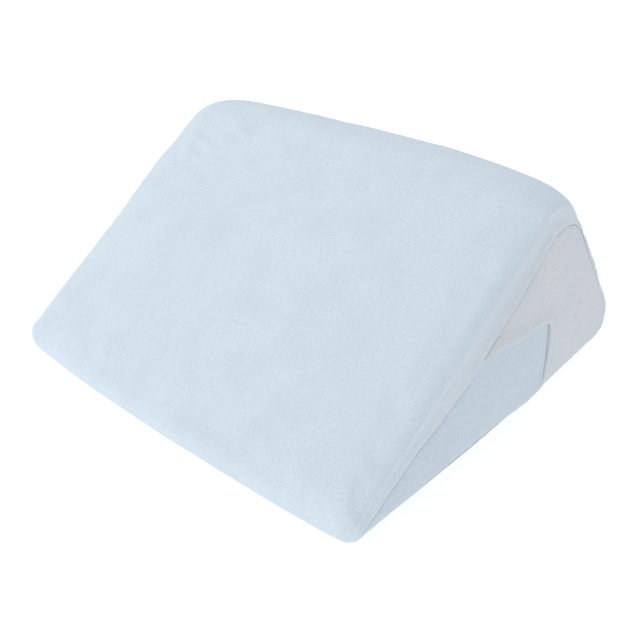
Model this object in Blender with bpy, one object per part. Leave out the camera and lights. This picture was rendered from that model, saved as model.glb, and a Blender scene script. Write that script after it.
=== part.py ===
# Wedge pillow: one filled wedge in a sewn terry cover, lying on its largest face.
# X runs along the ridge, Y from the thin front edge to the heel, Z up, all in metres.
# The middle of the base is the origin.

import math

import bmesh
import bpy
import numpy as np
from mathutils.geometry import delaunay_2d_cdt

# Filled wedge: the sharp profile that its rounded corners sit in, as (y, z) from the sharp front edge
HALF_WIDTH = 0.250
FRONT_CORNER = np.array([0.000, 0.000])
HEEL_CORNER = np.array([0.568, 0.000])
RIDGE_CORNER = np.array([0.359, 0.276])
PROFILE_RADII = {"heel": 0.040, "ridge": 0.055, "front": 0.021}
# How far each face of the filled wedge swells past flat at the middle
BACK_CROWN = 0.010
SLOPE_CROWN = 0.005
END_CROWN = 0.009
RIDGE_SAG = 0.016

# Where the cover turns from the long faces to the ends: how far the round reaches along the
# width, how far it comes in over the end, and how many degrees it turns before the end seam
END_ROUNDS = {
    "base": {"reach": 0.014, "inset": 0.012, "turn": 50},
    "heel": {"reach": 0.030, "inset": 0.014, "turn": 90},
    "ridge": {"reach": 0.050, "inset": 0.014, "turn": 90},
    "slope": {"reach": 0.024, "inset": 0.024, "turn": 90},
    "front": {"reach": 0.026, "inset": 0.009, "turn": 90},
}

# End panel: the three-cornered piece of cover sewn into each end, as (y, z) from the sharp front edge
PANEL_FRONT = np.array([0.034, 0.0055])
PANEL_HEEL = np.array([0.540, 0.0055])
PANEL_TOP = np.array([0.380, 0.212])
PANEL_RADII = {"heel": 0.028, "ridge": 0.018, "front": 0.008}
PANEL_DEPTH = 0.0035
POCKET_DEPTH = 0.0041
GAP = 0.0003
SEAM_ROLL_DEPTH = 0.0015
SEAM_ROLL_WIDTH = 0.006

# Hem of the right end's rear panel: a fold across the end, then a slit down to the base
FOLD_START = np.array([0.244, 0.107])
HEM_CORNER = np.array([0.364, 0.094])
HEM_CORNER_CUT = 0.004
FOLD_GRADE = (HEM_CORNER[1] - FOLD_START[1]) / (HEM_CORNER[0] - FOLD_START[0])
SLIT_FOOT_Y = 0.364
SLIT_BOW = 0.005
SLIT_WIDTH_TOP = 0.0014
SLIT_WIDTH_FOOT = 0.0006
HEM_WIDTH = 0.011
HEM_RAISE = 0.0009
HEM_ROLL_DEPTH = 0.0012
HEM_ROLL_WIDTH = 0.003

# Closure panel: its top runs in under the hem, and its foot swells out beside the slit
TUCK_DEPTH = 0.0020
TUCK_REACH = 0.030
TUCK_FADE_HEIGHT = 0.040
FOOT_BULGE = 0.0030
FOOT_BULGE_Y = 0.330
FOOT_BULGE_REACH = 0.045
FOOT_BULGE_HEIGHT = 0.035

# How finely the shapes are divided
SIDE_STEPS = {"base": 12, "back": 9, "slope": 13}
ARC_STEPS = 6
MIDDLE_STEPS = 12
ROUND_STEPS = 5
FLOOR_SHARES = (0.12, 0.28, 0.48, 0.70, 0.90)
PANEL_PITCH = 0.020
PANEL_MARGIN = 0.012
RIM_PITCH = 0.014
HEM_STEPS = 9
SHARP_DEGREES = 50

MATERIALS = {
    "slope terry": {"color": (0.638, 0.745, 0.823, 1.0), "roughness": 0.95},
    "panel terry": {"color": (0.578, 0.610, 0.665, 1.0), "roughness": 0.95},
    "closure terry": {"color": (0.540, 0.630, 0.715, 1.0), "roughness": 0.95},
}


def unit(vector):
    return vector / np.linalg.norm(vector)


def smooth(share):
    return share * share * (3 - 2 * share)


def corner_arc(before, corner, after, radius):
    """Points and outward normals of the round at a corner, turning from one side to the next."""
    to_before = unit(before - corner)
    to_after = unit(after - corner)
    half_angle = math.acos(to_before @ to_after) / 2
    centre = corner + unit(to_before + to_after) * radius / math.sin(half_angle)
    start = unit(corner + to_before * radius / math.tan(half_angle) - centre)
    across = np.array([-start[1], start[0]])
    turns = np.linspace(0, math.pi - 2 * half_angle, ARC_STEPS + 1)
    normals = np.outer(np.cos(turns), start) + np.outer(np.sin(turns), across)
    return centre + normals * radius, normals


def rounded_triangle(front, heel, top, radii):
    """Its outline from the base round by the heel, back, ridge and slope to the front, as
    rows of name, share along, point and outward normal."""
    arcs = {
        "heel": corner_arc(front, heel, top, radii["heel"]),
        "ridge": corner_arc(heel, top, front, radii["ridge"]),
        "front": corner_arc(top, front, heel, radii["front"]),
    }
    rows = []
    sides = (("base", "front", "heel"), ("back", "heel", "ridge"), ("slope", "ridge", "front"))
    for side, first, second in sides:
        start = arcs[first][0][-1]
        end = arcs[second][0][0]
        along = unit(end - start)
        for step in range(1, SIDE_STEPS[side]):
            share = step / SIDE_STEPS[side]
            rows.append((side, share, start + (end - start) * share, np.array([along[1], -along[0]])))
        points, normals = arcs[second]
        for step in range(ARC_STEPS + 1):
            rows.append((second, step / ARC_STEPS, points[step], normals[step]))
    return rows


def blend(first, second, share):
    """The end rounding between two named places."""
    return {key: END_ROUNDS[first][key] * (1 - share) + END_ROUNDS[second][key] * share
            for key in END_ROUNDS[first]}


def end_round(place, share):
    """How the cover turns onto the end at one place of the profile."""
    if place == "base":
        return END_ROUNDS["base"]
    if place == "heel":
        return blend("base", "heel", smooth(share))
    if place == "back":
        return blend("heel", "ridge", share)
    if place == "ridge":
        return END_ROUNDS["ridge"]
    if place == "slope" and share < 0.5:
        return blend("ridge", "slope", smooth(share * 2))
    if place == "slope":
        return blend("slope", "front", smooth(share * 2 - 1))
    return blend("front", "base", smooth(share))


def end_crown(y, z):
    """How far the end swells out: nothing at the profile's sides and most in its middle."""
    width = HEEL_CORNER[0]
    over_base = z / RIDGE_CORNER[1]
    from_heel = (y - over_base * RIDGE_CORNER[0]) / width
    from_front = 1 - over_base - from_heel
    return END_CROWN * np.clip(27 * over_base * from_heel * from_front, 0, 1) ** 0.75


def on_end(points, depth):
    """Places on the swollen end, sunk by a depth."""
    return np.column_stack([HALF_WIDTH + end_crown(points[:, 0], points[:, 1]) - depth, points])


def round_dip(distance, width, depth):
    """A quarter round: the full depth at its edge, and nothing at its width and beyond."""
    left = np.clip(1 - distance / width, 0, 1)
    return depth * (1 - np.sqrt(1 - left * left))


def turn_under(z):
    """How far the end has turned in, low down, where it meets the base."""
    return round_dip(z, END_ROUNDS["base"]["inset"], END_ROUNDS["base"]["reach"])


def seam_roll(distance):
    """How far the cover dips as it turns into the end seam."""
    return round_dip(distance, SEAM_ROLL_WIDTH, SEAM_ROLL_DEPTH)


def profile_ring(rows, x_of, inset_of):
    """One ring of the wedge: its profile drawn in, crowned and sagged for its place along the width."""
    ring = []
    for place, share, point, normal in rows:
        turn = end_round(place, share)
        x = x_of(point, normal, turn)
        away = min(1.0, x / HALF_WIDTH) ** 4
        crown = {"back": BACK_CROWN, "slope": SLOPE_CROWN}.get(place, 0.0) * 4 * share * (1 - share)
        y, z = point + normal * (crown * (1 - away) - inset_of(turn))
        ring.append((x, y, z - RIDGE_SAG * away * (z / RIDGE_CORNER[1]) ** 2))
    return np.array(ring)


def half_rings(rows, seam_rows):
    """The rings of one half of the wedge, from the middle out and then in over the pocket's floor."""
    def flat_end(point, normal, turn):
        landing = point - normal * turn["inset"]
        return HALF_WIDTH + end_crown(*landing) - turn["reach"]

    rings = []
    for step in range(MIDDLE_STEPS // 2 + 1):
        share = 2 * step / MIDDLE_STEPS
        rings.append(profile_ring(rows, lambda p, n, t: share * flat_end(p, n, t), lambda t: 0.0))
    for step in range(1, ROUND_STEPS + 1):
        part = step / ROUND_STEPS
        rings.append(profile_ring(
            rows,
            lambda p, n, t: flat_end(p, n, t) + t["reach"] * math.sin(math.radians(t["turn"] * part)),
            lambda t: t["inset"] * (1 - math.cos(math.radians(t["turn"] * part))),
        ))
    edge = rings[-1][:, 1:]
    seam = np.array([row[2] for row in seam_rows])
    apart = np.linalg.norm(edge - seam, axis=1)
    lip = seam + (edge - seam) * np.minimum(0.5, SEAM_ROLL_WIDTH / apart)[:, None]
    middle = (PANEL_FRONT + PANEL_HEEL + PANEL_TOP) / 3
    rings.append(on_end(lip, turn_under(lip[:, 1])))
    rings.append(on_end(seam, np.maximum(turn_under(seam[:, 1]), SEAM_ROLL_DEPTH)))
    for share in (0.0,) + FLOOR_SHARES:
        rings.append(on_end(seam + (middle - seam) * share, POCKET_DEPTH))
    return rings


def centred(points):
    """Moves points from the sharp front edge's frame to the middle of the base."""
    return points - np.array([0.0, CENTRE_Y, 0.0])


def add_piece(name, mesh, material):
    mesh.materials.append(material)
    mesh.shade_smooth()
    mesh.set_sharp_from_angle(angle=math.radians(SHARP_DEGREES))
    collection.objects.link(bpy.data.objects.new(name, mesh))


def mesh_from(bm, name):
    bmesh.ops.recalc_face_normals(bm, faces=bm.faces)
    mesh = bpy.data.meshes.new(name)
    bm.to_mesh(mesh)
    bm.free()
    return mesh


def filled_wedge(rows, seam_rows):
    """Loft of the profile along the width, with a shallow pocket in each end for its panel."""
    half = half_rings(rows, seam_rows)
    mirrored = [ring * np.array([-1, 1, 1]) for ring in reversed(half[1:])]
    bm = bmesh.new()
    grid = [[bm.verts.new(point) for point in centred(ring)] for ring in mirrored + half]
    around = len(rows)
    for ring, following in zip(grid, grid[1:]):
        for i in range(around):
            j = (i + 1) % around
            bm.faces.new((ring[i], ring[j], following[j], following[i]))
    bm.faces.new(grid[0])
    bm.faces.new(reversed(grid[-1]))
    bmesh.ops.triangulate(bm, faces=[face for face in bm.faces if len(face.verts) > 4])
    add_piece("filled_wedge", mesh_from(bm, "filled_wedge"), materials["slope terry"])


def distance_to(line, points):
    """Distance of each point from a line of joined segments."""
    starts = line[:-1]
    runs = line[1:] - starts
    offsets = points[:, None, :] - starts[None]
    along = np.clip((offsets * runs).sum(2) / (runs * runs).sum(1), 0, 1)
    nearest = starts[None] + along[..., None] * runs
    return np.linalg.norm(points[:, None, :] - nearest, axis=2).min(axis=1)


def inside(outline, points):
    """Which points lie inside a closed outline."""
    runs = np.roll(outline, -1, axis=0) - outline
    y = points[:, 0, None]
    z = points[:, 1, None]
    spans = (outline[:, 1] > z) != (outline[:, 1] + runs[:, 1] > z)
    with np.errstate(divide="ignore", invalid="ignore"):
        crossing = outline[:, 0] + (z - outline[:, 1]) * runs[:, 0] / runs[:, 1]
    return (spans & (y < crossing)).sum(axis=1) % 2 == 1


def inward(outline, distance):
    """The outline's points moved in by a distance, kept only where they stay that far inside."""
    along = np.roll(outline, -1, axis=0) - np.roll(outline, 1, axis=0)
    normals = np.column_stack([-along[:, 1], along[:, 0]]) / np.linalg.norm(along, axis=1)[:, None]
    moved = outline + normals * distance
    closed = np.vstack([outline, outline[:1]])
    return moved[inside(outline, moved) & (distance_to(closed, moved) > 0.8 * distance)]


def divided(outline):
    """The outline with its long stretches cut to the panel's rim pitch."""
    points = []
    for start, end in zip(outline, np.roll(outline, -1, axis=0)):
        parts = max(1, math.ceil(np.linalg.norm(end - start) / RIM_PITCH))
        points += [start + (end - start) * step / parts for step in range(parts)]
    return np.array(points)


def panel(name, side, rough_outline, roll_widths, depth_of, material):
    """A sheet of cover in an end's pocket: a smooth underside, and an upper surface sunk as given."""
    outline = divided(rough_outline)
    closed = np.vstack([outline, outline[:1]])
    places = [outline] + [inward(outline, width) for width in roll_widths]
    low = outline.min(axis=0)
    high = outline.max(axis=0)
    columns = np.arange(low[0], high[0], PANEL_PITCH)
    levels = np.arange(low[1], high[1], PANEL_PITCH)
    grid = np.array([(y, z) for y in columns for z in levels])
    grid = grid[inside(outline, grid)]
    places.append(grid[distance_to(closed, grid) > PANEL_MARGIN])
    flat = np.vstack(places)
    rim = list(range(len(outline)))
    found = delaunay_2d_cdt([tuple(point) for point in flat], [], [rim], 1, 1e-7)
    spots = np.array([tuple(point) for point in found[0]])
    bottom = on_end(spots, PANEL_DEPTH)
    top = on_end(spots, depth_of(spots))
    bm = bmesh.new()
    verts = [bm.verts.new(point) for point in centred(bottom) * np.array([side, 1, 1])]
    faces = [bm.faces.new([verts[i] for i in face]) for face in found[2]]
    raised = bmesh.ops.extrude_face_region(bm, geom=faces)
    places_of = {tuple(vert.co): index for index, vert in enumerate(verts)}
    lifted = centred(top) * np.array([side, 1, 1])
    for vert in raised["geom"]:
        if isinstance(vert, bmesh.types.BMVert):
            vert.co = lifted[places_of[tuple(vert.co)]]
    add_piece(name, mesh_from(bm, name), material)


def fold_height(y):
    """Height of the hem's fold, a straight line across the end."""
    return FOLD_START[1] + FOLD_GRADE * (y - FOLD_START[0])


def slit_place(z):
    """Place of the slit, bowed a little towards the heel."""
    share = 1 - z / HEM_CORNER[1]
    return SLIT_FOOT_Y + SLIT_BOW * 4 * share * (1 - share)


def hem_line(gap_share):
    """From the base up the slit and along the fold to the end seam, for the edge on one side of the gap."""
    foot = PANEL_FRONT[1] + GAP
    points = []
    for z in np.linspace(foot, HEM_CORNER[1] - HEM_CORNER_CUT, HEM_STEPS):
        width = np.interp(z, (foot, HEM_CORNER[1]), (SLIT_WIDTH_FOOT, SLIT_WIDTH_TOP))
        points.append((slit_place(z) + gap_share * width, z))
    seam_along = unit(PANEL_TOP - PANEL_FRONT)
    seam_start = PANEL_FRONT + GAP * np.array([seam_along[1], -seam_along[0]])
    lift = gap_share * GAP
    climb = seam_along[1] / seam_along[0] - FOLD_GRADE
    fold_end = seam_start[0] + (fold_height(seam_start[0]) + lift - seam_start[1]) / climb
    for y in np.linspace(HEM_CORNER[0] - HEM_CORNER_CUT, fold_end, HEM_STEPS):
        points.append((y, fold_height(y) + lift))
    return np.array(points)


def in_closure(point):
    return point[0] < slit_place(point[1]) and point[1] < fold_height(point[0])


def right_panels(seam):
    """The rear panel with its hem, and the closure panel that runs in under it."""
    rear_edge = hem_line(0.5)
    front_edge = hem_line(-0.5)
    closed_seam = np.vstack([seam, seam[:1]])
    of_rear = [point for point in seam if not in_closure(point)]
    first = next(i for i, point in enumerate(seam) if not in_closure(point))
    of_front = list(seam[first + len(of_rear):]) + list(seam[:first])
    rear = np.vstack([of_rear, rear_edge[::-1]])
    front = np.vstack([of_front, front_edge])

    def edge_dip(spots):
        return np.maximum(seam_roll(distance_to(closed_seam, spots)), turn_under(spots[:, 1]))

    def rear_depth(spots):
        away = distance_to(rear_edge, spots)
        band = HEM_RAISE * smooth(np.clip(2 - away / HEM_WIDTH, 0, 1))
        return np.maximum(edge_dip(spots), round_dip(away, HEM_ROLL_WIDTH, HEM_ROLL_DEPTH)) - band

    def closure_depth(spots):
        away = distance_to(front_edge, spots)
        tuck = TUCK_DEPTH * np.exp(-((away / TUCK_REACH) ** 2))
        tuck = tuck * smooth(np.clip(spots[:, 1] / TUCK_FADE_HEIGHT, 0, 1))
        bulge_y = (spots[:, 0] - FOOT_BULGE_Y) / FOOT_BULGE_REACH
        bulge_z = spots[:, 1] / FOOT_BULGE_HEIGHT
        bulge = FOOT_BULGE * np.exp(-(bulge_y ** 2) - bulge_z ** 2)
        return np.maximum(edge_dip(spots), tuck) - bulge

    rolls = (HEM_ROLL_WIDTH, HEM_WIDTH)
    panel("side_panel_right", 1, rear, rolls, rear_depth, materials["panel terry"])
    panel("closure_panel_right", 1, front, rolls, closure_depth, materials["closure terry"])


def left_panel(seam):
    closed_seam = np.vstack([seam, seam[:1]])

    def depth(spots):
        return np.maximum(seam_roll(distance_to(closed_seam, spots)), turn_under(spots[:, 1]))

    rolls = (SEAM_ROLL_WIDTH / 3, SEAM_ROLL_WIDTH)
    panel("side_panel_left", -1, seam, rolls, depth, materials["panel terry"])


def new_material(name, look):
    made = bpy.data.materials.new(name)
    made.use_nodes = True
    shader = made.node_tree.nodes["Principled BSDF"]
    shader.inputs["Base Color"].default_value = look["color"]
    shader.inputs["Roughness"].default_value = look["roughness"]
    shader.inputs["Metallic"].default_value = 0.0
    made.diffuse_color = look["color"]
    return made


for old in list(bpy.data.objects):
    bpy.data.objects.remove(old, do_unlink=True)

collection = bpy.data.collections.new("wedge_pillow")
bpy.context.scene.collection.children.link(collection)
materials = {name: new_material(name, look) for name, look in MATERIALS.items()}

profile = rounded_triangle(FRONT_CORNER, HEEL_CORNER, RIDGE_CORNER, PROFILE_RADII)
seam_profile = rounded_triangle(PANEL_FRONT, PANEL_HEEL, PANEL_TOP, PANEL_RADII)
profile_y = [row[2][0] for row in profile]
CENTRE_Y = (min(profile_y) + max(profile_y)) / 2

filled_wedge(profile, seam_profile)
panel_seam = np.array([row[2] - row[3] * GAP for row in seam_profile])
left_panel(panel_seam)
right_panels(panel_seam)
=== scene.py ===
import math

import bmesh
import bpy
import numpy as np
from mathutils import Matrix, Vector, noise
from mathutils.geometry import delaunay_2d_cdt


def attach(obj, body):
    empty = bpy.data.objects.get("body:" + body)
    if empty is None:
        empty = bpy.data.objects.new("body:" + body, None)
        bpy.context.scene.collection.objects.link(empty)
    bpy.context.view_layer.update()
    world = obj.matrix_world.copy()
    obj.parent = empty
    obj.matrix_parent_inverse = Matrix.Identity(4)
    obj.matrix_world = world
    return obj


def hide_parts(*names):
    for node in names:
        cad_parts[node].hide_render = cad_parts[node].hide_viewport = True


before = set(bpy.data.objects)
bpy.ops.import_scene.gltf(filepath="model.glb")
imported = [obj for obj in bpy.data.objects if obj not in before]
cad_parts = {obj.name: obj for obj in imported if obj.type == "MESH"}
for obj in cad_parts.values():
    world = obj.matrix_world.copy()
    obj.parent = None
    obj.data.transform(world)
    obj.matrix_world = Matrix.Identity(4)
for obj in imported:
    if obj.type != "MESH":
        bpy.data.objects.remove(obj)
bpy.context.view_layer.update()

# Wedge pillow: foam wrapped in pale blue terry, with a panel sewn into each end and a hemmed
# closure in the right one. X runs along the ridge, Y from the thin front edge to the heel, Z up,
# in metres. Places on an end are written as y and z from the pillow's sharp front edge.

print("frame loaded")


# The foam wedge and the long piece of terry wrapped round it
wedge = {
    "halfWidth": 0.250,
    "front": np.array([0.000, 0.000]),  # sharp corners of the end view, before they are rounded
    "heel": np.array([0.568, 0.000]),
    "ridge": np.array([0.359, 0.276]),
    "radii": {"heel": 0.0422, "ridge": 0.0617, "front": 0.0208},
    "backCrown": 0.0100,  # how far each face swells past flat
    "slopeCrown": 0.0051,
    "endCrown": 0.0106,
    "ridgeSag": 0.0176,  # how far the ridge drops towards its ends
    "sagPower": 4.25,  # higher keeps the drop nearer the ends
    # how the cover turns onto an end: its reach along the width, how far it comes in, its turn in degrees
    "turns": {
        "base": (0.0165, 0.0241, 24),
        "heel": (0.0330, 0.0150, 90),
        "ridge": (0.0500, 0.0150, 90),
        "slope": (0.0165, 0.0175, 90),
        "front": (0.0223, 0.0072, 90),
    },
    "sideSteps": {"base": 60, "back": 76, "slope": 120},
    "arcSteps": {"heel": 30, "ridge": 30, "front": 20},
    "middleSteps": 68,
    "turnSteps": 16,
    "bandSteps": 6,
    "floorShares": (0.03, 0.12, 0.30, 0.60, 0.90),
}

# The seam that joins the wrap to each end panel
endSeam = {
    "front": np.array([0.034, 0.0030]),
    "heel": np.array([0.544, 0.0030]),
    "top": np.array([0.372, 0.220]),
    "radii": {"heel": 0.034, "ridge": 0.0576, "front": 0.008},
    # how far its front run strays outwards, by its share of the way down from the ridge
    "stray": ((0.0, 0.0), (0.14, -0.0020), (0.28, -0.0042), (0.40, -0.0055), (0.50, -0.0088), (0.58, -0.0060),
              (0.66, -0.0042), (0.74, 0.0004), (0.86, 0.0010), (0.94, -0.0010), (1.0, 0.0)),
    "strayPasses": 4,
    "rollWidth": 0.006,  # the cover rolls down into the seam over this width
    "rollDepth": 0.0015,
    "gap": 0.0002,
    "pocketDepth": 0.0041,
    "panelDepth": 0.0035,
    "puckerSpacing": 0.013,
    "puckerDepth": 0.0006,
    "puckerPeak": 0.005,  # distance from the seam where a pucker is deepest
    "wander": 0.0006,  # how far hand-guided sewing strays from a true line
}


def unit(vector):
    return vector / np.linalg.norm(vector)


def smooth(share):
    return share * share * (3 - 2 * share)


def cornerArc(before, corner, after, radius, steps):
    toBefore = unit(before - corner)
    toAfter = unit(after - corner)
    halfAngle = math.acos(toBefore @ toAfter) / 2
    centre = corner + unit(toBefore + toAfter) * radius / math.sin(halfAngle)
    start = unit(corner + toBefore * radius / math.tan(halfAngle) - centre)
    sideways = np.array([-start[1], start[0]])
    turns = np.linspace(0, math.pi - 2 * halfAngle, steps + 1)
    normals = np.outer(np.cos(turns), start) + np.outer(np.sin(turns), sideways)
    return centre + normals * radius, normals


# Rows of the end view from the base round by the heel, back, ridge and slope to the front
def roundedTriangle(front, heel, top, radii):
    steps = wedge["arcSteps"]
    arcs = {
        "heel": cornerArc(front, heel, top, radii["heel"], steps["heel"]),
        "ridge": cornerArc(heel, top, front, radii["ridge"], steps["ridge"]),
        "front": cornerArc(top, front, heel, radii["front"], steps["front"]),
    }
    rows = []
    sides = (("base", "front", "heel"), ("back", "heel", "ridge"), ("slope", "ridge", "front"))
    for side, first, second in sides:
        start = arcs[first][0][-1]
        end = arcs[second][0][0]
        ahead = unit(end - start)
        for step in range(1, wedge["sideSteps"][side]):
            share = step / wedge["sideSteps"][side]
            rows.append((side, share, start + (end - start) * share, np.array([ahead[1], -ahead[0]])))
        for step in range(steps[second] + 1):
            rows.append((second, step / steps[second], arcs[second][0][step], arcs[second][1][step]))
    return rows


def turnAt(place, share):
    def between(first, second, part):
        return np.array(wedge["turns"][first]) * (1 - part) + np.array(wedge["turns"][second]) * part

    if place == "base":
        return between("base", "base", 0)
    if place == "heel":
        return between("base", "heel", smooth(share))
    if place == "back":
        return between("heel", "ridge", share)
    if place == "ridge":
        return between("ridge", "ridge", 0)
    if place == "slope" and share < 0.5:
        return between("ridge", "slope", smooth(min(1, share * 4)))
    if place == "slope":
        return between("slope", "front", smooth(share * 2 - 1))
    return between("front", "base", smooth(share))


profileRows = roundedTriangle(wedge["front"], wedge["heel"], wedge["ridge"], wedge["radii"])
seamRows = roundedTriangle(endSeam["front"], endSeam["heel"], endSeam["top"], endSeam["radii"])
profilePoints = np.array([row[2] for row in profileRows])
profileNormals = np.array([row[3] for row in profileRows])
seamNormals = np.array([row[3] for row in seamRows])
strayShares, strayMoves = np.transpose(endSeam["stray"])
seamStray = np.array([np.interp(row[1], strayShares, strayMoves) * (row[0] == "slope") for row in seamRows])
for number in range(endSeam["strayPasses"]):
    seamStray = (np.roll(seamStray, 1) + 2 * seamStray + np.roll(seamStray, -1)) / 4
seamLine = np.array([row[2] for row in seamRows]) + seamNormals * seamStray[:, None]
centreY = 0.28410847  # the end view's middle, which stands over the origin
turnReach, turnInset, turnAngle = np.array([turnAt(row[0], row[1]) for row in profileRows]).T
turnAngle = np.radians(turnAngle)
crownAt = np.array([
    {"back": wedge["backCrown"], "slope": wedge["slopeCrown"]}.get(row[0], 0.0) * 4 * row[1] * (1 - row[1])
    for row in profileRows
])


def endCrown(places):
    overBase = places[:, 1] / wedge["ridge"][1]
    fromHeel = (places[:, 0] - overBase * wedge["ridge"][0]) / wedge["heel"][0]
    fromFront = 1 - overBase - fromHeel
    return wedge["endCrown"] * np.clip(27 * overBase * fromHeel * fromFront, 0, 1) ** 0.75


def onEnd(places, depth):
    return np.column_stack([wedge["halfWidth"] + endCrown(places) - depth, places])


# A quarter round: the full depth at its edge, and nothing at its width and beyond
def roundDip(distance, width, depth):
    left = np.clip(1 - distance / width, 0, 1)
    return depth * (1 - np.sqrt(1 - left * left))


def turnUnder(z):
    return roundDip(z, wedge["turns"]["base"][1], wedge["turns"]["base"][0])


def seamRoll(distance):
    return roundDip(distance, endSeam["rollWidth"], endSeam["rollDepth"])


def profileRing(x, inset):
    away = np.minimum(1, x / wedge["halfWidth"]) ** wedge["sagPower"]
    places = profilePoints + profileNormals * (crownAt * (1 - away) - inset)[:, None]
    z = places[:, 1] - wedge["ridgeSag"] * away * (places[:, 1] / wedge["ridge"][1]) ** 2
    return np.column_stack([x, places[:, 0], z])


# Rings of the right half, from the middle out, over the edge and down into the pocket for the panel
def wedgeHalf():
    flatEnd = wedge["halfWidth"] + endCrown(profilePoints - profileNormals * turnInset[:, None]) - turnReach
    rings = []
    for step in range(wedge["middleSteps"] + 1):
        rings.append(profileRing(flatEnd * step / wedge["middleSteps"], 0))
    for step in range(1, wedge["turnSteps"] + 1):
        turned = turnAngle * step / wedge["turnSteps"]
        rings.append(profileRing(flatEnd + turnReach * np.sin(turned), turnInset * (1 - np.cos(turned))))
    edge = rings[-1][:, 1:]
    edgeDepth = wedge["halfWidth"] + endCrown(edge) - rings[-1][:, 0] - turnUnder(edge[:, 1])
    apart = np.linalg.norm(edge - seamLine, axis=1)
    rollShare = np.minimum(0.5, endSeam["rollWidth"] / apart)
    for step in range(1, wedge["bandSteps"] + 1):
        share = 1 + (rollShare - 1) * step / wedge["bandSteps"]
        places = seamLine + (edge - seamLine) * share[:, None]
        left = (1 - step / wedge["bandSteps"]) ** 2
        rings.append(onEnd(places, turnUnder(places[:, 1]) + edgeDepth * left))
    for part in (0.75, 0.5, 0.33, 0.2, 0.1, 0.0):
        places = seamLine + (edge - seamLine) * (rollShare * part)[:, None]
        depth = np.maximum(turnUnder(places[:, 1]), seamRoll(apart * rollShare * part))
        rings.append(onEnd(places, depth))
    middle = (endSeam["front"] + endSeam["heel"] + endSeam["top"]) / 3
    for share in (0.0,) + wedge["floorShares"]:
        places = seamLine + (middle - seamLine) * share
        rings.append(onEnd(places, turnUnder(places[:, 1]) + endSeam["pocketDepth"]))
    return np.array(rings)


def gridNormals(grid):
    around = np.roll(grid, -1, axis=1) - np.roll(grid, 1, axis=1)
    across = np.gradient(grid, axis=0)
    normals = np.cross(around, across)
    return normals / np.maximum(np.linalg.norm(normals, axis=2), 1e-12)[..., None]


# Soft noise of a given lump size, one value a point, from -1 to 1
def lumps(points, size, seed):
    offset = Vector((seed * 7.1, seed * 3.7, seed * 5.3))
    return np.array([noise.noise(Vector(point) / size + offset) for point in points])


def nearestOnLine(line, points):
    starts = line[:-1]
    runs = line[1:] - starts
    lengths = np.linalg.norm(runs, axis=1)
    before = np.concatenate([[0], np.cumsum(lengths)[:-1]])
    distance = np.empty(len(points))
    place = np.empty(len(points))
    for first in range(0, len(points), 4000):
        some = slice(first, first + 4000)
        offsets = points[some][:, None, :] - starts[None]
        share = np.clip((offsets * runs).sum(2) / np.maximum(lengths ** 2, 1e-18), 0, 1)
        apart = np.linalg.norm(offsets - share[..., None] * runs, axis=2)
        best = apart.argmin(axis=1)
        rows = np.arange(len(best))
        distance[some] = apart[rows, best]
        place[some] = before[best] + share[rows, best] * lengths[best]
    return distance, place


closedSeam = np.vstack([seamLine, seamLine[:1]])
seamPlace = np.concatenate([[0], np.cumsum(np.linalg.norm(np.diff(closedSeam, axis=0), axis=1))])
seamLength = seamPlace[-1]
seamPlace = seamPlace[:-1]


# Puckers that cross the seam: where each is along it, how wide, how deep and how far it reaches
def puckerSet(seed):
    dice = np.random.default_rng(seed)
    count = int(seamLength / endSeam["puckerSpacing"])
    place = (np.arange(count) + dice.uniform(-0.35, 0.35, count)) * seamLength / count
    width = dice.uniform(0.0028, 0.0050, count)
    depth = endSeam["puckerDepth"] * dice.uniform(0.1, 1.0, count) ** 1.5
    reach = endSeam["puckerPeak"] * dice.uniform(0.7, 1.6, count)
    corners = [nearestOnLine(closedSeam, np.array([endSeam[name]]))[1][0] for name in ("top", "front")]
    for corner in corners:
        near = np.exp(-((place - corner) / 0.05) ** 2)
        depth = depth * (1 + 1.6 * near)
    return np.column_stack([place, width, depth, reach])


def puckerDip(puckers, place, away):
    dip = np.zeros(place.shape)
    for centre, width, depth, reach in puckers:
        apart = np.abs(place - centre)
        apart = np.minimum(apart, seamLength - apart)
        dip += depth * np.exp(-((apart / width) ** 2)) * away / reach * np.exp(1 - away / reach)
    return dip


puckersRight = puckerSet(11)
puckersLeft = puckerSet(23)

# Handling marks in the wrap. Creases are two ends as x, y, z, then their half width and depth
wrapRelief = {
    "simulatedSlack": 0.0025,  # the cover starts this far inside its shape, and the pressure fills it
    "simulatedCap": 0.0045,
    "broadPasses": 40,
    "wrinkleShare": 0.55,
    "waves": ((0.110, 0.0008), (0.045, 0.00030), (0.014, 0.00010)),  # lump size, height
    "creases": (
        ((-0.2167, -0.0034, 0.2108), (-0.1644, -0.0208, 0.2038), 0.0050, 0.0009),
        ((-0.2064, 0.0080, 0.2205), (-0.1497, -0.0077, 0.2138), 0.0045, 0.0008),
        ((-0.1601, -0.0096, 0.2119), (-0.1050, -0.0213, 0.2055), 0.0055, 0.0007),
        ((-0.1806, -0.0326, 0.1944), (-0.1223, -0.0472, 0.1864), 0.0060, 0.0006),
        ((-0.1646, 0.0135, 0.2278), (-0.1197, 0.0034, 0.2225), 0.0045, 0.0007),
    ),
}


def centred(points):
    return points - np.array([0.0, centreY, 0.0])


def gridMesh(name, grid):
    rings, around = grid.shape[:2]
    index = np.arange(rings * around).reshape(rings, around)
    ahead = np.roll(index, -1, axis=1)
    quads = np.stack([index[:-1], ahead[:-1], ahead[1:], index[1:]], axis=-1).reshape(-1, 4)
    caps = [index[0].tolist(), index[-1][::-1].tolist()]
    mesh = bpy.data.meshes.new(name)
    mesh.from_pydata(grid.reshape(-1, 3).tolist(), [], quads.tolist() + caps)
    bm = bmesh.new()
    bm.from_mesh(mesh)
    bmesh.ops.triangulate(bm, faces=[face for face in bm.faces if len(face.verts) > 4])
    bmesh.ops.recalc_face_normals(bm, faces=bm.faces)
    bm.to_mesh(mesh)
    bm.free()
    return mesh


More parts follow.
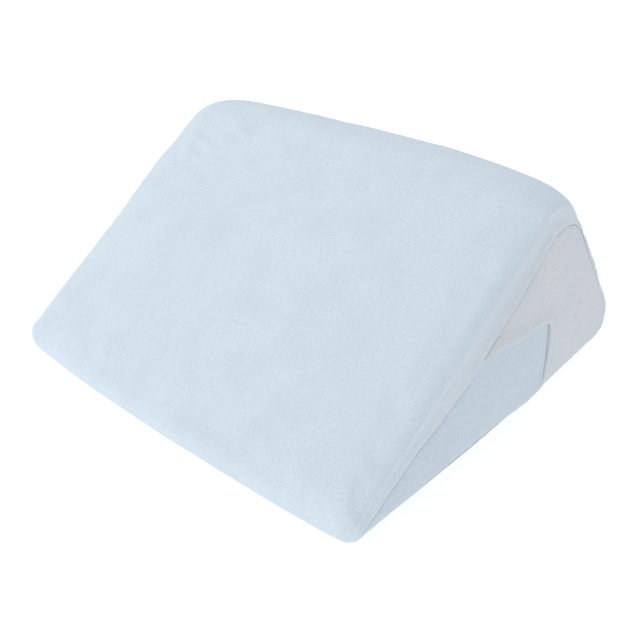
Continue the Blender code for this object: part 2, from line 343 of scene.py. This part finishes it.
# Fills the cover like the real one: a coarse copy swells under pressure, held at its seams and base
def filledByPressure(grid, held):
    coarse = grid[::2, ::2]
    free = 1 - held[::2, ::2]
    start = coarse - gridNormals(coarse) * (wrapRelief["simulatedSlack"] * free)[..., None]
    cover = bpy.data.objects.new("cover_filling", gridMesh("cover_filling", start))
    bpy.context.scene.collection.objects.link(cover)
    sewn = cover.vertex_groups.new(name="sewn")
    for vertex, weight in enumerate(1 - free.reshape(-1)):
        if weight > 0:
            sewn.add([vertex], float(weight), "REPLACE")
    cloth = cover.modifiers.new("terry", "CLOTH")
    cloth.settings.vertex_group_mass = "sewn"
    cloth.settings.quality = 4
    cloth.settings.mass = 0.3
    cloth.settings.tension_stiffness = 15
    cloth.settings.compression_stiffness = 12
    cloth.settings.bending_stiffness = 0.6
    cloth.settings.shrink_min = -0.012
    cloth.settings.use_pressure = True
    cloth.settings.uniform_pressure_force = 4
    cloth.settings.effector_weights.gravity = 0
    cloth.point_cache.frame_start = 1
    cloth.point_cache.frame_end = 20
    for number in range(1, 21):
        bpy.context.scene.frame_set(number)
    evaluated = cover.evaluated_get(bpy.context.evaluated_depsgraph_get())
    filled = np.empty(len(evaluated.data.vertices) * 3)
    evaluated.data.vertices.foreach_get("co", filled)
    filled = filled.reshape(coarse.shape)
    bpy.context.scene.frame_set(1)
    spare = cover.data
    bpy.data.objects.remove(cover)
    bpy.data.meshes.remove(spare)
    moved = filled - start
    length = np.linalg.norm(moved, axis=2)
    print("cover filled, mean move", round(1000 * float(length.mean()), 2), "mm")
    moved = moved * np.minimum(1, wrapRelief["simulatedCap"] / np.maximum(length, 1e-9))[..., None]
    broad = start + moved - coarse
    # the broad part is the foam's form, and stays as it was fitted
    for number in range(wrapRelief["broadPasses"]):
        sides = np.concatenate([broad[1:2], broad[:-1]]) + np.concatenate([broad[1:], broad[-2:-1]])
        broad = (broad * 2 + sides + np.roll(broad, 1, axis=1) + np.roll(broad, -1, axis=1)) / 6
        broad = broad * free[..., None]
    kept = (start + moved - coarse - broad) * free[..., None]
    print("wrinkles kept, up to", round(1000 * float(np.abs(kept).max()), 2), "mm")
    return kept * wrapRelief["wrinkleShare"]


# Spreads the coarse cover's moves over the fine one, with a smooth curve through them
def spread(coarse, shape):
    fine = np.zeros(shape)
    before = np.roll(coarse, 1, axis=1)
    after = np.roll(coarse, -1, axis=1)
    further = np.roll(coarse, -2, axis=1)
    fine[::2, ::2] = coarse
    fine[::2, 1::2] = (9 * (coarse + after) - before - further) / 16
    rows = fine[::2]
    padded = np.concatenate([rows[:1], rows, rows[-1:]])
    fine[1::2] = (9 * (padded[1:-2] + padded[2:-1]) - padded[:-3] - padded[3:]) / 16
    return fine


def creaseDip(points, creases):
    dip = np.zeros(len(points))
    for start, end, width, depth in creases:
        start = np.array(start)
        run = np.array(end) - start
        share = (points - start) @ run / (run @ run)
        apart = np.linalg.norm(points - start - np.clip(share, 0, 1)[:, None] * run, axis=1)
        fade = smooth(np.clip(4 * np.minimum(share, 1 - share) + 0.2, 0, 1))
        trough = np.exp(-((apart / width) ** 2))
        lips = 0.45 * np.exp(-(((apart - 2.1 * width) / width) ** 2))
        dip += depth * fade * (trough - lips)
    return dip


# How the finished pillow departs from a true wedge, in metres, on every piece alike
settled = {
    "frontBow": 0.0097,  # the thin front edge bows out between its ends
    "bowPower": 2.5,
    "frontSkew": 0.0032,
    "rightRidgeUp": -0.0010,
    "rightFrontOut": -0.0036,
    "leftFrontOut": 0.0005,
    "leftRidgeOut": 0.0018,
    "leftWaist": 0.0060,  # the left end draws in halfway up the slope
    "waistHeight": 0.130,
    "waistSpread": 0.060,
    "rightBackIn": 0.0036,
}


def asSettled(points):
    x, y, z = points.T
    across = x / wedge["halfWidth"]
    front = smooth(np.clip((0.06 - y) / 0.30, 0, 1))
    heel = smooth(np.clip((y + 0.02) / 0.16, 0, 1))
    high = smooth(np.clip((z - 0.10) / 0.13, 0, 1))
    right = smooth(np.clip((x - 0.10) / 0.14, 0, 1))
    left = smooth(np.clip((-x - 0.10) / 0.14, 0, 1))
    moved = points.copy()
    moved[:, 0] += right * front * settled["rightFrontOut"]
    moved[:, 0] -= left * (front * settled["leftFrontOut"] + high * settled["leftRidgeOut"])
    fromWaist = (z - settled["waistHeight"]) / settled["waistSpread"]
    moved[:, 0] += left * settled["leftWaist"] * np.exp(-(fromWaist ** 2))
    bow = settled["frontBow"] * (1 - np.abs(across) ** settled["bowPower"])
    moved[:, 1] -= front * (bow + settled["frontSkew"] * across)
    moved[:, 1] -= right * heel * settled["rightBackIn"]
    moved[:, 2] += high * across * settled["rightRidgeUp"]
    # the seam line strays a little, as sewn by hand
    near = smooth(np.clip((np.abs(x) - 0.235) / 0.012, 0, 1)) * smooth(np.clip((z - 0.012) / 0.02, 0, 1))
    busy = np.nonzero(near)[0]
    stray = (near * endSeam["wander"] * 2)[busy]
    moved[busy, 1] += stray * lumps(points[busy], 0.050, 3)
    moved[busy, 2] += stray * lumps(points[busy], 0.050, 8)
    return moved


def wrapShape():
    half = wedgeHalf()
    mirrored = half[:0:-1] * np.array([-1, 1, 1])
    grid = centred(np.concatenate([mirrored, half]))
    rings, around = grid.shape[:2]
    rolls = wedge["middleSteps"] + wedge["turnSteps"] + wedge["bandSteps"] + 6
    middle = len(half) - 1
    runs = np.linalg.norm(np.diff(half, axis=0), axis=2)
    halfAway = np.zeros(half.shape[:2])
    for ring in range(rolls - 1, -1, -1):
        halfAway[ring] = halfAway[ring + 1] + runs[ring]
    away = np.concatenate([halfAway[:0:-1], halfAway])
    base = smooth(np.clip(1 - grid[..., 2] / 0.016, 0, 1))
    held = np.maximum(base, smooth(np.clip(1 - away / 0.012, 0, 1)))
    onFloor = np.abs(np.arange(rings) - middle) > rolls
    held[onFloor] = 1
    grid = grid + spread(filledByPressure(grid, held), grid.shape)
    normals = gridNormals(grid)
    points = grid.reshape(-1, 3)
    height = np.zeros(len(points))
    for number, (size, tall) in enumerate(wrapRelief["waves"]):
        height += tall * 2 * lumps(points, size, number + 1)
    height = height * (1 - held.reshape(-1))
    height -= creaseDip(points, wrapRelief["creases"])
    place = np.broadcast_to(seamPlace, (rings, around)).reshape(-1)
    awayFlat = away.reshape(-1)
    rightSide = points[:, 0] > 0
    for side, puckers in ((rightSide, puckersRight), (~rightSide, puckersLeft)):
        near = np.nonzero(side & (awayFlat < 0.06) & (awayFlat > 0))[0]
        height[near] -= puckerDip(puckers, place[near], awayFlat[near]) * (1 - base.reshape(-1)[near])
    points = points + normals.reshape(-1, 3) * height[:, None]
    points = asSettled(points)
    points[:, 2] = np.maximum(points[:, 2], 0)
    return points.reshape(grid.shape)


# The end panels, and the hem of the rear one on the right
hem = {
    "foldStart": np.array([0.227, 0.1135]),
    "corner": np.array([0.3385, 0.1045]),
    "cornerCut": 0.004,
    "slitFoot": 0.350,
    "slitBow": 0.002,
    "slitTop": 0.0003,  # how wide the slit gapes at its top and foot
    "slitBottom": 0.0002,
    "width": 0.011,
    "raise": 0.0021,
    "rollWidth": 0.0028,
    "rollDepth": 0.0014,
    "stitchGroove": 0.0012,
    "ripple": 0.0013,
    "ripplePitch": 0.0072,
    "rippleFade": 0.005,
    "rippleCount": 80,
    "steps": 60,
}
closure = {
    "tuckDepth": 0.0014,
    "tuckReach": 0.030,
    "tuckFade": 0.040,
    "bulge": 0.0036,
    "bulgePlace": (0.330, 0.045, 0.035),  # y, reach in y, reach in z
}
rearDimples = (  # y, z, reach, depth
    (0.411, 0.098, 0.0050, 0.0016),
    (0.407, 0.085, 0.0050, 0.0013),
    (0.423, 0.0645, 0.0055, 0.0015),
)
panelMesh = {"pitch": 0.0026, "rims": (0.0004, 0.0010, 0.0018, 0.0028, 0.0040, 0.0056), "margin": 0.0072}
hemGrade = (hem["corner"][1] - hem["foldStart"][1]) / (hem["corner"][0] - hem["foldStart"][0])


def foldHeight(y):
    return hem["foldStart"][1] + hemGrade * (y - hem["foldStart"][0])


def slitPlace(z):
    share = 1 - z / hem["corner"][1]
    lean = (hem["slitFoot"] - hem["corner"][0]) * share
    return hem["corner"][0] + lean + hem["slitBow"] * 4 * share * (1 - share)


# From the base up the slit and along the fold to the end seam, for the edge on one side of the gap
def hemLine(gapShare):
    foot = endSeam["front"][1] + endSeam["gap"]
    points = []
    for z in np.linspace(foot, hem["corner"][1] - hem["cornerCut"], hem["steps"]):
        width = np.interp(z, (foot, hem["corner"][1]), (hem["slitBottom"], hem["slitTop"]))
        points.append((slitPlace(z) + gapShare * width, z))
    lift = gapShare * endSeam["gap"]
    slopeRun = np.array([row[0] == "slope" for row in seamRows])
    edge = (seamLine - seamNormals * endSeam["gap"])[slopeRun][::-1]
    above = edge[:, 1] - foldHeight(edge[:, 0]) - lift
    foldEnd = np.interp(0, above, edge[:, 0])
    for y in np.linspace(hem["corner"][0] - hem["cornerCut"], foldEnd, hem["steps"]):
        points.append((y, foldHeight(y) + lift))
    return np.array(points)


def inClosure(point):
    return point[0] < slitPlace(point[1]) and point[1] < foldHeight(point[0])


def inside(outline, points):
    runs = np.roll(outline, -1, axis=0) - outline
    y = points[:, 0, None]
    z = points[:, 1, None]
    spans = (outline[:, 1] > z) != (outline[:, 1] + runs[:, 1] > z)
    with np.errstate(divide="ignore", invalid="ignore"):
        crossing = outline[:, 0] + (z - outline[:, 1]) * runs[:, 0] / runs[:, 1]
    return (spans & (y < crossing)).sum(axis=1) % 2 == 1


def evened(line, pitch):
    runs = np.linalg.norm(np.diff(line, axis=0), axis=1)
    place = np.concatenate([[0], np.cumsum(runs)])
    stops = np.linspace(0, place[-1], max(2, round(place[-1] / pitch)) + 1)
    return np.column_stack([np.interp(stops, place, line[:, 0]), np.interp(stops, place, line[:, 1])])


# A closed thin sheet in an end's pocket: smooth below, with the given relief above
def panelSheet(name, side, outline, depthOf):
    closed = np.vstack([outline, outline[:1]])
    ahead = np.roll(outline, -1, axis=0) - np.roll(outline, 1, axis=0)
    inwardWay = np.column_stack([-ahead[:, 1], ahead[:, 0]]) / np.linalg.norm(ahead, axis=1)[:, None]
    places = [outline]
    for width in panelMesh["rims"]:
        moved = outline + inwardWay * width
        keep = inside(outline, moved) & (nearestOnLine(closed, moved)[0] > 0.9 * width)
        places.append(moved[keep])
    low = outline.min(axis=0)
    high = outline.max(axis=0)
    grid = []
    for row, z in enumerate(np.arange(low[1], high[1], panelMesh["pitch"] * 0.866)):
        shift = panelMesh["pitch"] / 2 * (row % 2)
        grid += [(y + shift, z) for y in np.arange(low[0], high[0], panelMesh["pitch"])]
    grid = np.array(grid)
    grid = grid[inside(outline, grid)]
    places.append(grid[nearestOnLine(closed, grid)[0] > panelMesh["margin"]])
    flat = np.vstack(places)
    rim = list(range(len(outline)))
    found = delaunay_2d_cdt([tuple(place) for place in flat], [], [rim], 1, 1e-7)
    spots = np.array([tuple(place) for place in found[0]])
    mirror = np.array([side, 1, 1])
    top = asSettled(centred(onEnd(spots, depthOf(spots))) * mirror)
    bottom = asSettled(centred(onEnd(spots, turnUnder(spots[:, 1]) + endSeam["panelDepth"])) * mirror)
    triangles = np.array([tuple(face) for face in found[2]])
    edges = np.concatenate([triangles[:, [0, 1]], triangles[:, [1, 2]], triangles[:, [2, 0]]])
    known = set(map(tuple, edges.tolist()))
    border = [(a, b) for a, b in known if (b, a) not in known]
    count = len(spots)
    faces = triangles.tolist() + (triangles[:, ::-1] + count).tolist()
    faces += [(a, a + count, b + count, b) for a, b in border]
    mesh = bpy.data.meshes.new(name)
    mesh.from_pydata(np.vstack([top, bottom]).tolist(), [], faces)
    bm = bmesh.new()
    bm.from_mesh(mesh)
    bmesh.ops.recalc_face_normals(bm, faces=bm.faces)
    bm.to_mesh(mesh)
    bm.free()
    return mesh


panelSeam = evened(np.vstack([seamLine - seamNormals * endSeam["gap"]] * 2)[:len(seamLine) + 1], 0.0024)[:-1]
closedPanelSeam = np.vstack([panelSeam, panelSeam[:1]])


def sewnEdge(spots, puckers, seed):
    distance = nearestOnLine(closedPanelSeam, spots)[0]
    place = nearestOnLine(closedSeam, spots)[1]
    raised = smooth(np.clip(spots[:, 1] / 0.016, 0, 1))
    near = distance < 0.06
    dip = np.zeros(len(spots))
    dip[near] = puckerDip(puckers, place[near], distance[near]) * raised[near]
    points = np.column_stack([np.zeros(len(spots)), spots])
    soft = smooth(np.clip(distance / 0.02, 0, 1)) * raised
    waves = 0.0007 * lumps(points, 0.060, seed) + 0.0003 * lumps(points, 0.016, seed + 1)
    return np.maximum(seamRoll(distance), turnUnder(spots[:, 1])) + dip + waves * soft


hemEdge = hemLine(0.5)
closureEdge = hemLine(-0.5)
hemRipples = np.random.default_rng(5).uniform(0.2, 1.0, hem["rippleCount"])


def hemRipple(spots, away):
    step = spots[:, 0] / hem["ripplePitch"]
    height = hem["ripple"] * np.interp(step, np.arange(hem["rippleCount"]), hemRipples)
    fade = np.exp(-((away - hem["width"]) / hem["rippleFade"]) ** 2)
    return height * (1 - np.cos(2 * math.pi * step)) / 2 * fade


def rearDepth(spots):
    away = nearestOnLine(hemEdge, spots)[0]
    raised = hem["raise"] * smooth(np.clip((1.7 - away / hem["width"]) / 0.7, 0, 1))
    roll = roundDip(away, hem["rollWidth"], hem["rollDepth"])
    groove = hem["stitchGroove"] * np.exp(-((away - hem["width"]) / 0.0012) ** 2)
    seamHere = sewnEdge(spots, puckersRight, 31)
    nearSeam = smooth(np.clip(nearestOnLine(closedPanelSeam, spots)[0] / 0.006, 0, 1))
    depth = np.maximum(seamHere, roll) - raised * (0.4 + 0.6 * nearSeam) + groove * nearSeam
    depth += hemRipple(spots, away) * nearSeam
    for y, z, reach, deep in rearDimples:
        depth += deep * np.exp(-((spots[:, 0] - y) ** 2 + (spots[:, 1] - z) ** 2) / reach ** 2)
    return depth


def closureDepth(spots):
    away = nearestOnLine(closureEdge, spots)[0]
    tuck = closure["tuckDepth"] * np.exp(-((away / closure["tuckReach"]) ** 2))
    tuck = tuck * smooth(np.clip(spots[:, 1] / closure["tuckFade"], 0, 1))
    y, reachY, reachZ = closure["bulgePlace"]
    bulge = closure["bulge"] * np.exp(-((spots[:, 0] - y) / reachY) ** 2 - (spots[:, 1] / reachZ) ** 2)
    return np.maximum(sewnEdge(spots, puckersRight, 41), tuck) - bulge


def leftDepth(spots):
    return sewnEdge(spots, puckersLeft, 51)


def rightOutlines():
    ofRear = [point for point in panelSeam if not inClosure(point)]
    first = next(i for i, point in enumerate(panelSeam) if not inClosure(point))
    ofClosure = list(panelSeam[first + len(ofRear):]) + list(panelSeam[:first])
    rear = np.vstack([ofRear, evened(hemEdge[::-1], 0.0024)])
    front = np.vstack([ofClosure, evened(closureEdge, 0.0024)])
    return rear, front


# Thread of the hem's row of stitches, each a short capsule sunk in the terry
stitching = {
    "length": 0.0026,
    "gap": 0.0010,
    "radius": 0.00030,
    "from": 0.2420,
    "to": 0.3300,
    "sides": 8,
    "rings": 6,
}


# One stitch's points, ring by ring from its far pole, and its faces, always in the same order
def stitchShape(start, run, first):
    sides = stitching["sides"]
    rings = stitching["rings"]
    turned = run.to_track_quat("Z", "Y")
    middle = start + run / 2
    spots = []
    for ring in range(1, rings):
        lean = math.pi * ring / rings
        reach = stitching["radius"] * math.sin(lean)
        for side in range(sides):
            around = 2 * math.pi * side / sides
            along = run.length / 2 * math.cos(lean)
            spots.append((reach * math.cos(around), reach * math.sin(around), along))
    spots += [(0, 0, run.length / 2), (0, 0, -run.length / 2)]
    top = first + sides * (rings - 1)
    last = top - sides
    faces = []
    for side in range(sides):
        ahead = (side + 1) % sides
        faces.append((top, first + side, first + ahead))
        for row in range(first, last, sides):
            faces.append((row + side, row + sides + side, row + sides + ahead, row + ahead))
        faces.append((last + side, top + 1, last + ahead))
    return [middle + turned @ Vector(spot) for spot in spots], faces


def stitchRow():
    points = []
    faces = []
    pitch = stitching["length"] + stitching["gap"]
    for y in np.arange(stitching["from"], stitching["to"], pitch):
        z = foldHeight(y) + hem["width"]
        ends = np.array([[y, z], [y + stitching["length"], z + hemGrade * stitching["length"]]])
        placed = asSettled(centred(onEnd(ends, rearDepth(ends) - 0.00005)))
        start = Vector(placed[0])
        made, joined = stitchShape(start, Vector(placed[1]) - start, len(points))
        points += made
        faces += joined
    mesh = bpy.data.meshes.new("hem_stitching")
    mesh.from_pydata(points, [], faces)
    return mesh


def linear(hexColor):
    channels = [int(hexColor[i:i + 2], 16) / 255 for i in (1, 3, 5)]
    return tuple(c / 12.92 if c <= 0.04045 else ((c + 0.055) / 1.055) ** 2.4 for c in channels) + (1.0,)


def addNode(tree, kind, settings=None, **links):
    node = tree.nodes.new(kind)
    for name, value in (settings or {}).items():
        if hasattr(node, name):
            setattr(node, name, value)
        else:
            node.inputs[name.replace("_", " ")].default_value = value
    for name, source in links.items():
        tree.links.new(source, node.inputs[name.replace("_", " ")])
    return node


# Cotton terry, woven with small uncut loops: matt, a little fuzzy at grazing angles, with a soft
# mottle where the pile leans. Real loops are 1.5 to 2 mm, and here 2.2 mm so that they show.
terryLoops = {"size": 0.0022, "fibre": 0.0007, "clump": 0.007, "cloud": 0.045}
# In each material, deep is painted shade for the gaps between the loops
terryColors = {
    "pale blue cotton terry": {"tip": "#d4e2ec", "deep": "#c9d8e4", "leaning": "#d0dce8",
                               # turned: painted shade, a greyer colour for the wrap where it turns onto the
                               # ends
                               "turned": "#ced4dd"},
    "end panel cotton terry": {"tip": "#d2d7de", "deep": "#c7cdd5", "leaning": "#ced4dc"},
    # painted shade: the closure's blue is the wrap's own terry, with its colours set about a tenth darker
    # than the wrap's for the shade on it
    "closure terry with painted shade": {"tip": "#cad7e2", "deep": "#bfcdd9", "leaning": "#c7d2de"},
}


def terryMaterial(name):
    colors = terryColors[name]
    made = bpy.data.materials.new(name)
    made.use_nodes = True
    tree = made.node_tree
    shader = tree.nodes["Principled BSDF"]
    shader.inputs["Roughness"].default_value = 0.95
    shader.inputs["IOR"].default_value = 1.5
    shader.inputs["Specular IOR Level"].default_value = 0.25
    shader.inputs["Sheen Weight"].default_value = 0.25
    shader.inputs["Sheen Roughness"].default_value = 0.5
    shader.inputs["Sheen Tint"].default_value = linear("#eef5fa")
    place = addNode(tree, "ShaderNodeTexCoord").outputs["Object"]
    loops = addNode(tree, "ShaderNodeTexVoronoi", {
        "feature": "SMOOTH_F1",
        "Scale": 1 / terryLoops["size"],
        "Smoothness": 0.5,
        "Randomness": 0.9,
    }, Vector=place).outputs["Distance"]
    fibre = addNode(tree, "ShaderNodeTexNoise", {
        "Scale": 1 / terryLoops["fibre"],
        "Detail": 1.0,
    }, Vector=place)
    clump = addNode(tree, "ShaderNodeTexNoise", {
        "Scale": 1 / terryLoops["clump"],
        "Detail": 2.0,
    }, Vector=place)
    cloud = addNode(tree, "ShaderNodeTexNoise", {
        "Scale": 1 / terryLoops["cloud"],
        "Detail": 3.0,
    }, Vector=place)
    lean = addNode(tree, "ShaderNodeMapRange", {
        "From_Min": 0.42, "From_Max": 0.66, "To_Min": 0.0, "To_Max": 0.8,
    }, Value=cloud.outputs["Fac"])
    ground = addNode(tree, "ShaderNodeMix", {"data_type": "RGBA"})
    ground.inputs[6].default_value = linear(colors["tip"])
    ground.inputs[7].default_value = linear(colors["leaning"])
    tree.links.new(lean.outputs["Result"], ground.inputs[0])
    # painted shade: the colour darkens towards deep in the gaps between the loops
    loopGapShade = addNode(tree, "ShaderNodeMapRange", {
        "From_Min": 0.30, "From_Max": 0.75, "To_Min": 0.0, "To_Max": 0.75,
    }, Value=loops)
    pile = addNode(tree, "ShaderNodeMix", {"data_type": "RGBA"})
    pile.inputs[7].default_value = linear(colors["deep"])
    tree.links.new(loopGapShade.outputs["Result"], pile.inputs[0])
    tree.links.new(ground.outputs[2], pile.inputs[6])
    tree.links.new(pile.outputs[2], shader.inputs["Base Color"])
    if "turned" in colors:  # painted shade: where the cover turns onto the ends, which the light reaches only from the side, its colour is mixed towards the greyer turned tone
        along = addNode(tree, "ShaderNodeSeparateXYZ", Vector=place).outputs["X"]
        outward = addNode(tree, "ShaderNodeMath", {"operation": "ABSOLUTE"}, Value=along)
        flat = addNode(tree, "ShaderNodeMapRange", {
            "From_Min": 0.247, "From_Max": 0.256, "To_Min": 0.0, "To_Max": 0.85,
        }, Value=outward.outputs[0])
        turned = addNode(tree, "ShaderNodeMix", {"data_type": "RGBA"})
        turned.inputs[7].default_value = linear(colors["turned"])
        tree.links.new(flat.outputs["Result"], turned.inputs[0])
        tree.links.new(pile.outputs[2], turned.inputs[6])
        tree.links.new(turned.outputs[2], shader.inputs["Base Color"])
    low = addNode(tree, "ShaderNodeMath", {"operation": "MULTIPLY"})
    tree.links.new(loops, low.inputs[0])
    low.inputs[1].default_value = -1.0
    withClump = addNode(tree, "ShaderNodeMath", {"operation": "MULTIPLY_ADD"})
    tree.links.new(clump.outputs["Fac"], withClump.inputs[0])
    withClump.inputs[1].default_value = 0.9
    tree.links.new(low.outputs[0], withClump.inputs[2])
    withFibre = addNode(tree, "ShaderNodeMath", {"operation": "MULTIPLY_ADD"})
    tree.links.new(fibre.outputs["Fac"], withFibre.inputs[0])
    withFibre.inputs[1].default_value = 0.25
    tree.links.new(withClump.outputs[0], withFibre.inputs[2])
    relief = addNode(tree, "ShaderNodeBump", {
        "Strength": 0.4,
        "Distance": 0.0006,
    }, Height=withFibre.outputs[0])
    tree.links.new(relief.outputs["Normal"], shader.inputs["Normal"])
    return made


# Spun polyester sewing thread: smoother than the pile, with a faint twist
def threadMaterial():
    made = bpy.data.materials.new("spun polyester thread")
    made.use_nodes = True
    tree = made.node_tree
    shader = tree.nodes["Principled BSDF"]
    shader.inputs["Roughness"].default_value = 0.7
    shader.inputs["Sheen Weight"].default_value = 0.2
    place = addNode(tree, "ShaderNodeTexCoord").outputs["Object"]
    twist = addNode(tree, "ShaderNodeTexWave", {"Scale": 400.0, "Distortion": 2.0}, Vector=place)
    tone = addNode(tree, "ShaderNodeMix", {"data_type": "RGBA"})
    tone.inputs[6].default_value = linear("#b9c3d0")
    tone.inputs[7].default_value = linear("#cdd5df")
    tree.links.new(twist.outputs["Fac"], tone.inputs[0])
    tree.links.new(tone.outputs[2], shader.inputs["Base Color"])
    return made


def addPiece(name, mesh, material, node=None):
    mesh.materials.append(material)
    mesh.shade_smooth()
    piece = bpy.data.objects.new(name, mesh)
    bpy.context.scene.collection.objects.link(piece)
    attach(piece, "root")
    if node:
        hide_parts(node)
    print(name, "made,", len(mesh.polygons), "faces")
    return piece


terry = {name: terryMaterial(name) for name in terryColors}
print("materials made")

wrap = addPiece("terry_wrapped_wedge", gridMesh("terry_wrapped_wedge", wrapShape()),
                terry["pale blue cotton terry"], "filled_wedge")

rearOutline, closureOutline = rightOutlines()
for name, side, outline, depthOf, material, slot, node in (
    ("left_end_panel", -1, panelSeam, leftDepth, "end panel cotton terry", "panel_terry", "side_panel_left"),
    ("right_rear_panel", 1, rearOutline, rearDepth, "end panel cotton terry",
     "panel_terry", "side_panel_right"),
    ("right_closure_panel", 1, closureOutline, closureDepth, "closure terry with painted shade",
     "closure_terry", "closure_panel_right"),
):
    panel = addPiece(name, panelSheet(name, side, outline, depthOf), terry[material], node)

addPiece("hem_stitching", stitchRow(), threadMaterial())

studio = {
    "skyStrength": 0.75,
    "keyPlace": (-1.4, -1.6, 2.2),
    "keySize": 2.4,
    "keyPower": 27,
    "floorColor": "#c4c4c4",
    "floorGlow": 0.64,
}


def studioSet():
    mesh = bpy.data.meshes.new("studio_floor")
    mesh.from_pydata([(-6, -6, 0), (6, -6, 0), (6, 6, 0), (-6, 6, 0)], [], [(0, 1, 2, 3)])
    paper = bpy.data.materials.new("opal acrylic light table")
    paper.use_nodes = True
    shader = paper.node_tree.nodes["Principled BSDF"]
    shader.inputs["Base Color"].default_value = linear(studio["floorColor"])
    shader.inputs["Roughness"].default_value = 0.95
    shader.inputs["Specular IOR Level"].default_value = 0.0
    shader.inputs["Emission Color"].default_value = (1, 1, 1, 1)
    shader.inputs["Emission Strength"].default_value = studio["floorGlow"]
    mesh.materials.append(paper)
    floor = bpy.data.objects.new("studio_floor", mesh)
    bpy.context.scene.collection.objects.link(floor)
    world = bpy.data.worlds.new("soft white room")
    world.use_nodes = True
    world.node_tree.nodes["Background"].inputs["Color"].default_value = (1, 1, 1, 1)
    world.node_tree.nodes["Background"].inputs["Strength"].default_value = studio["skyStrength"]
    bpy.context.scene.world = world
    data = bpy.data.lights.new("soft_box", "AREA")
    data.shape = "SQUARE"
    data.size = studio["keySize"]
    data.energy = studio["keyPower"]
    key = bpy.data.objects.new("soft_box", data)
    key.location = studio["keyPlace"]
    key.rotation_euler = (-Vector(studio["keyPlace"])).to_track_quat("-Z", "Y").to_euler()
    bpy.context.scene.collection.objects.link(key)


# Where the photo was taken from, worked out from the pillow's outline in it
view = {
    "azimuth": 41.055,
    "elevation": 27.530,
    "roll": 0.025,
    "away": 0.9803,
    "aim": (0.0, -0.0041, 0.08),
    "lens": 47.515,
    "shift": (0.00127, -0.05513),
}


def photoCamera():
    a = math.radians(view["azimuth"])
    e = math.radians(view["elevation"])
    back = Vector((math.sin(a) * math.cos(e), -math.cos(a) * math.cos(e), math.sin(e)))
    right = Vector((math.cos(a), math.sin(a), 0))
    data = bpy.data.cameras.new("photo_camera")
    data.lens = view["lens"]
    data.shift_x, data.shift_y = view["shift"]
    data.clip_start = 0.05
    data.clip_end = 50
    camera = bpy.data.objects.new("photo_camera", data)
    turned = Matrix((right, back.cross(right), back)).transposed().to_4x4()
    turned = turned @ Matrix.Rotation(math.radians(view["roll"]), 4, "Z")
    camera.matrix_world = Matrix.Translation(Vector(view["aim"]) + back * view["away"]) @ turned
    bpy.context.scene.collection.objects.link(camera)
    bpy.context.scene.camera = camera


studioSet()
photoCamera()
bpy.context.scene.view_settings.view_transform = "Standard"
print("studio made")
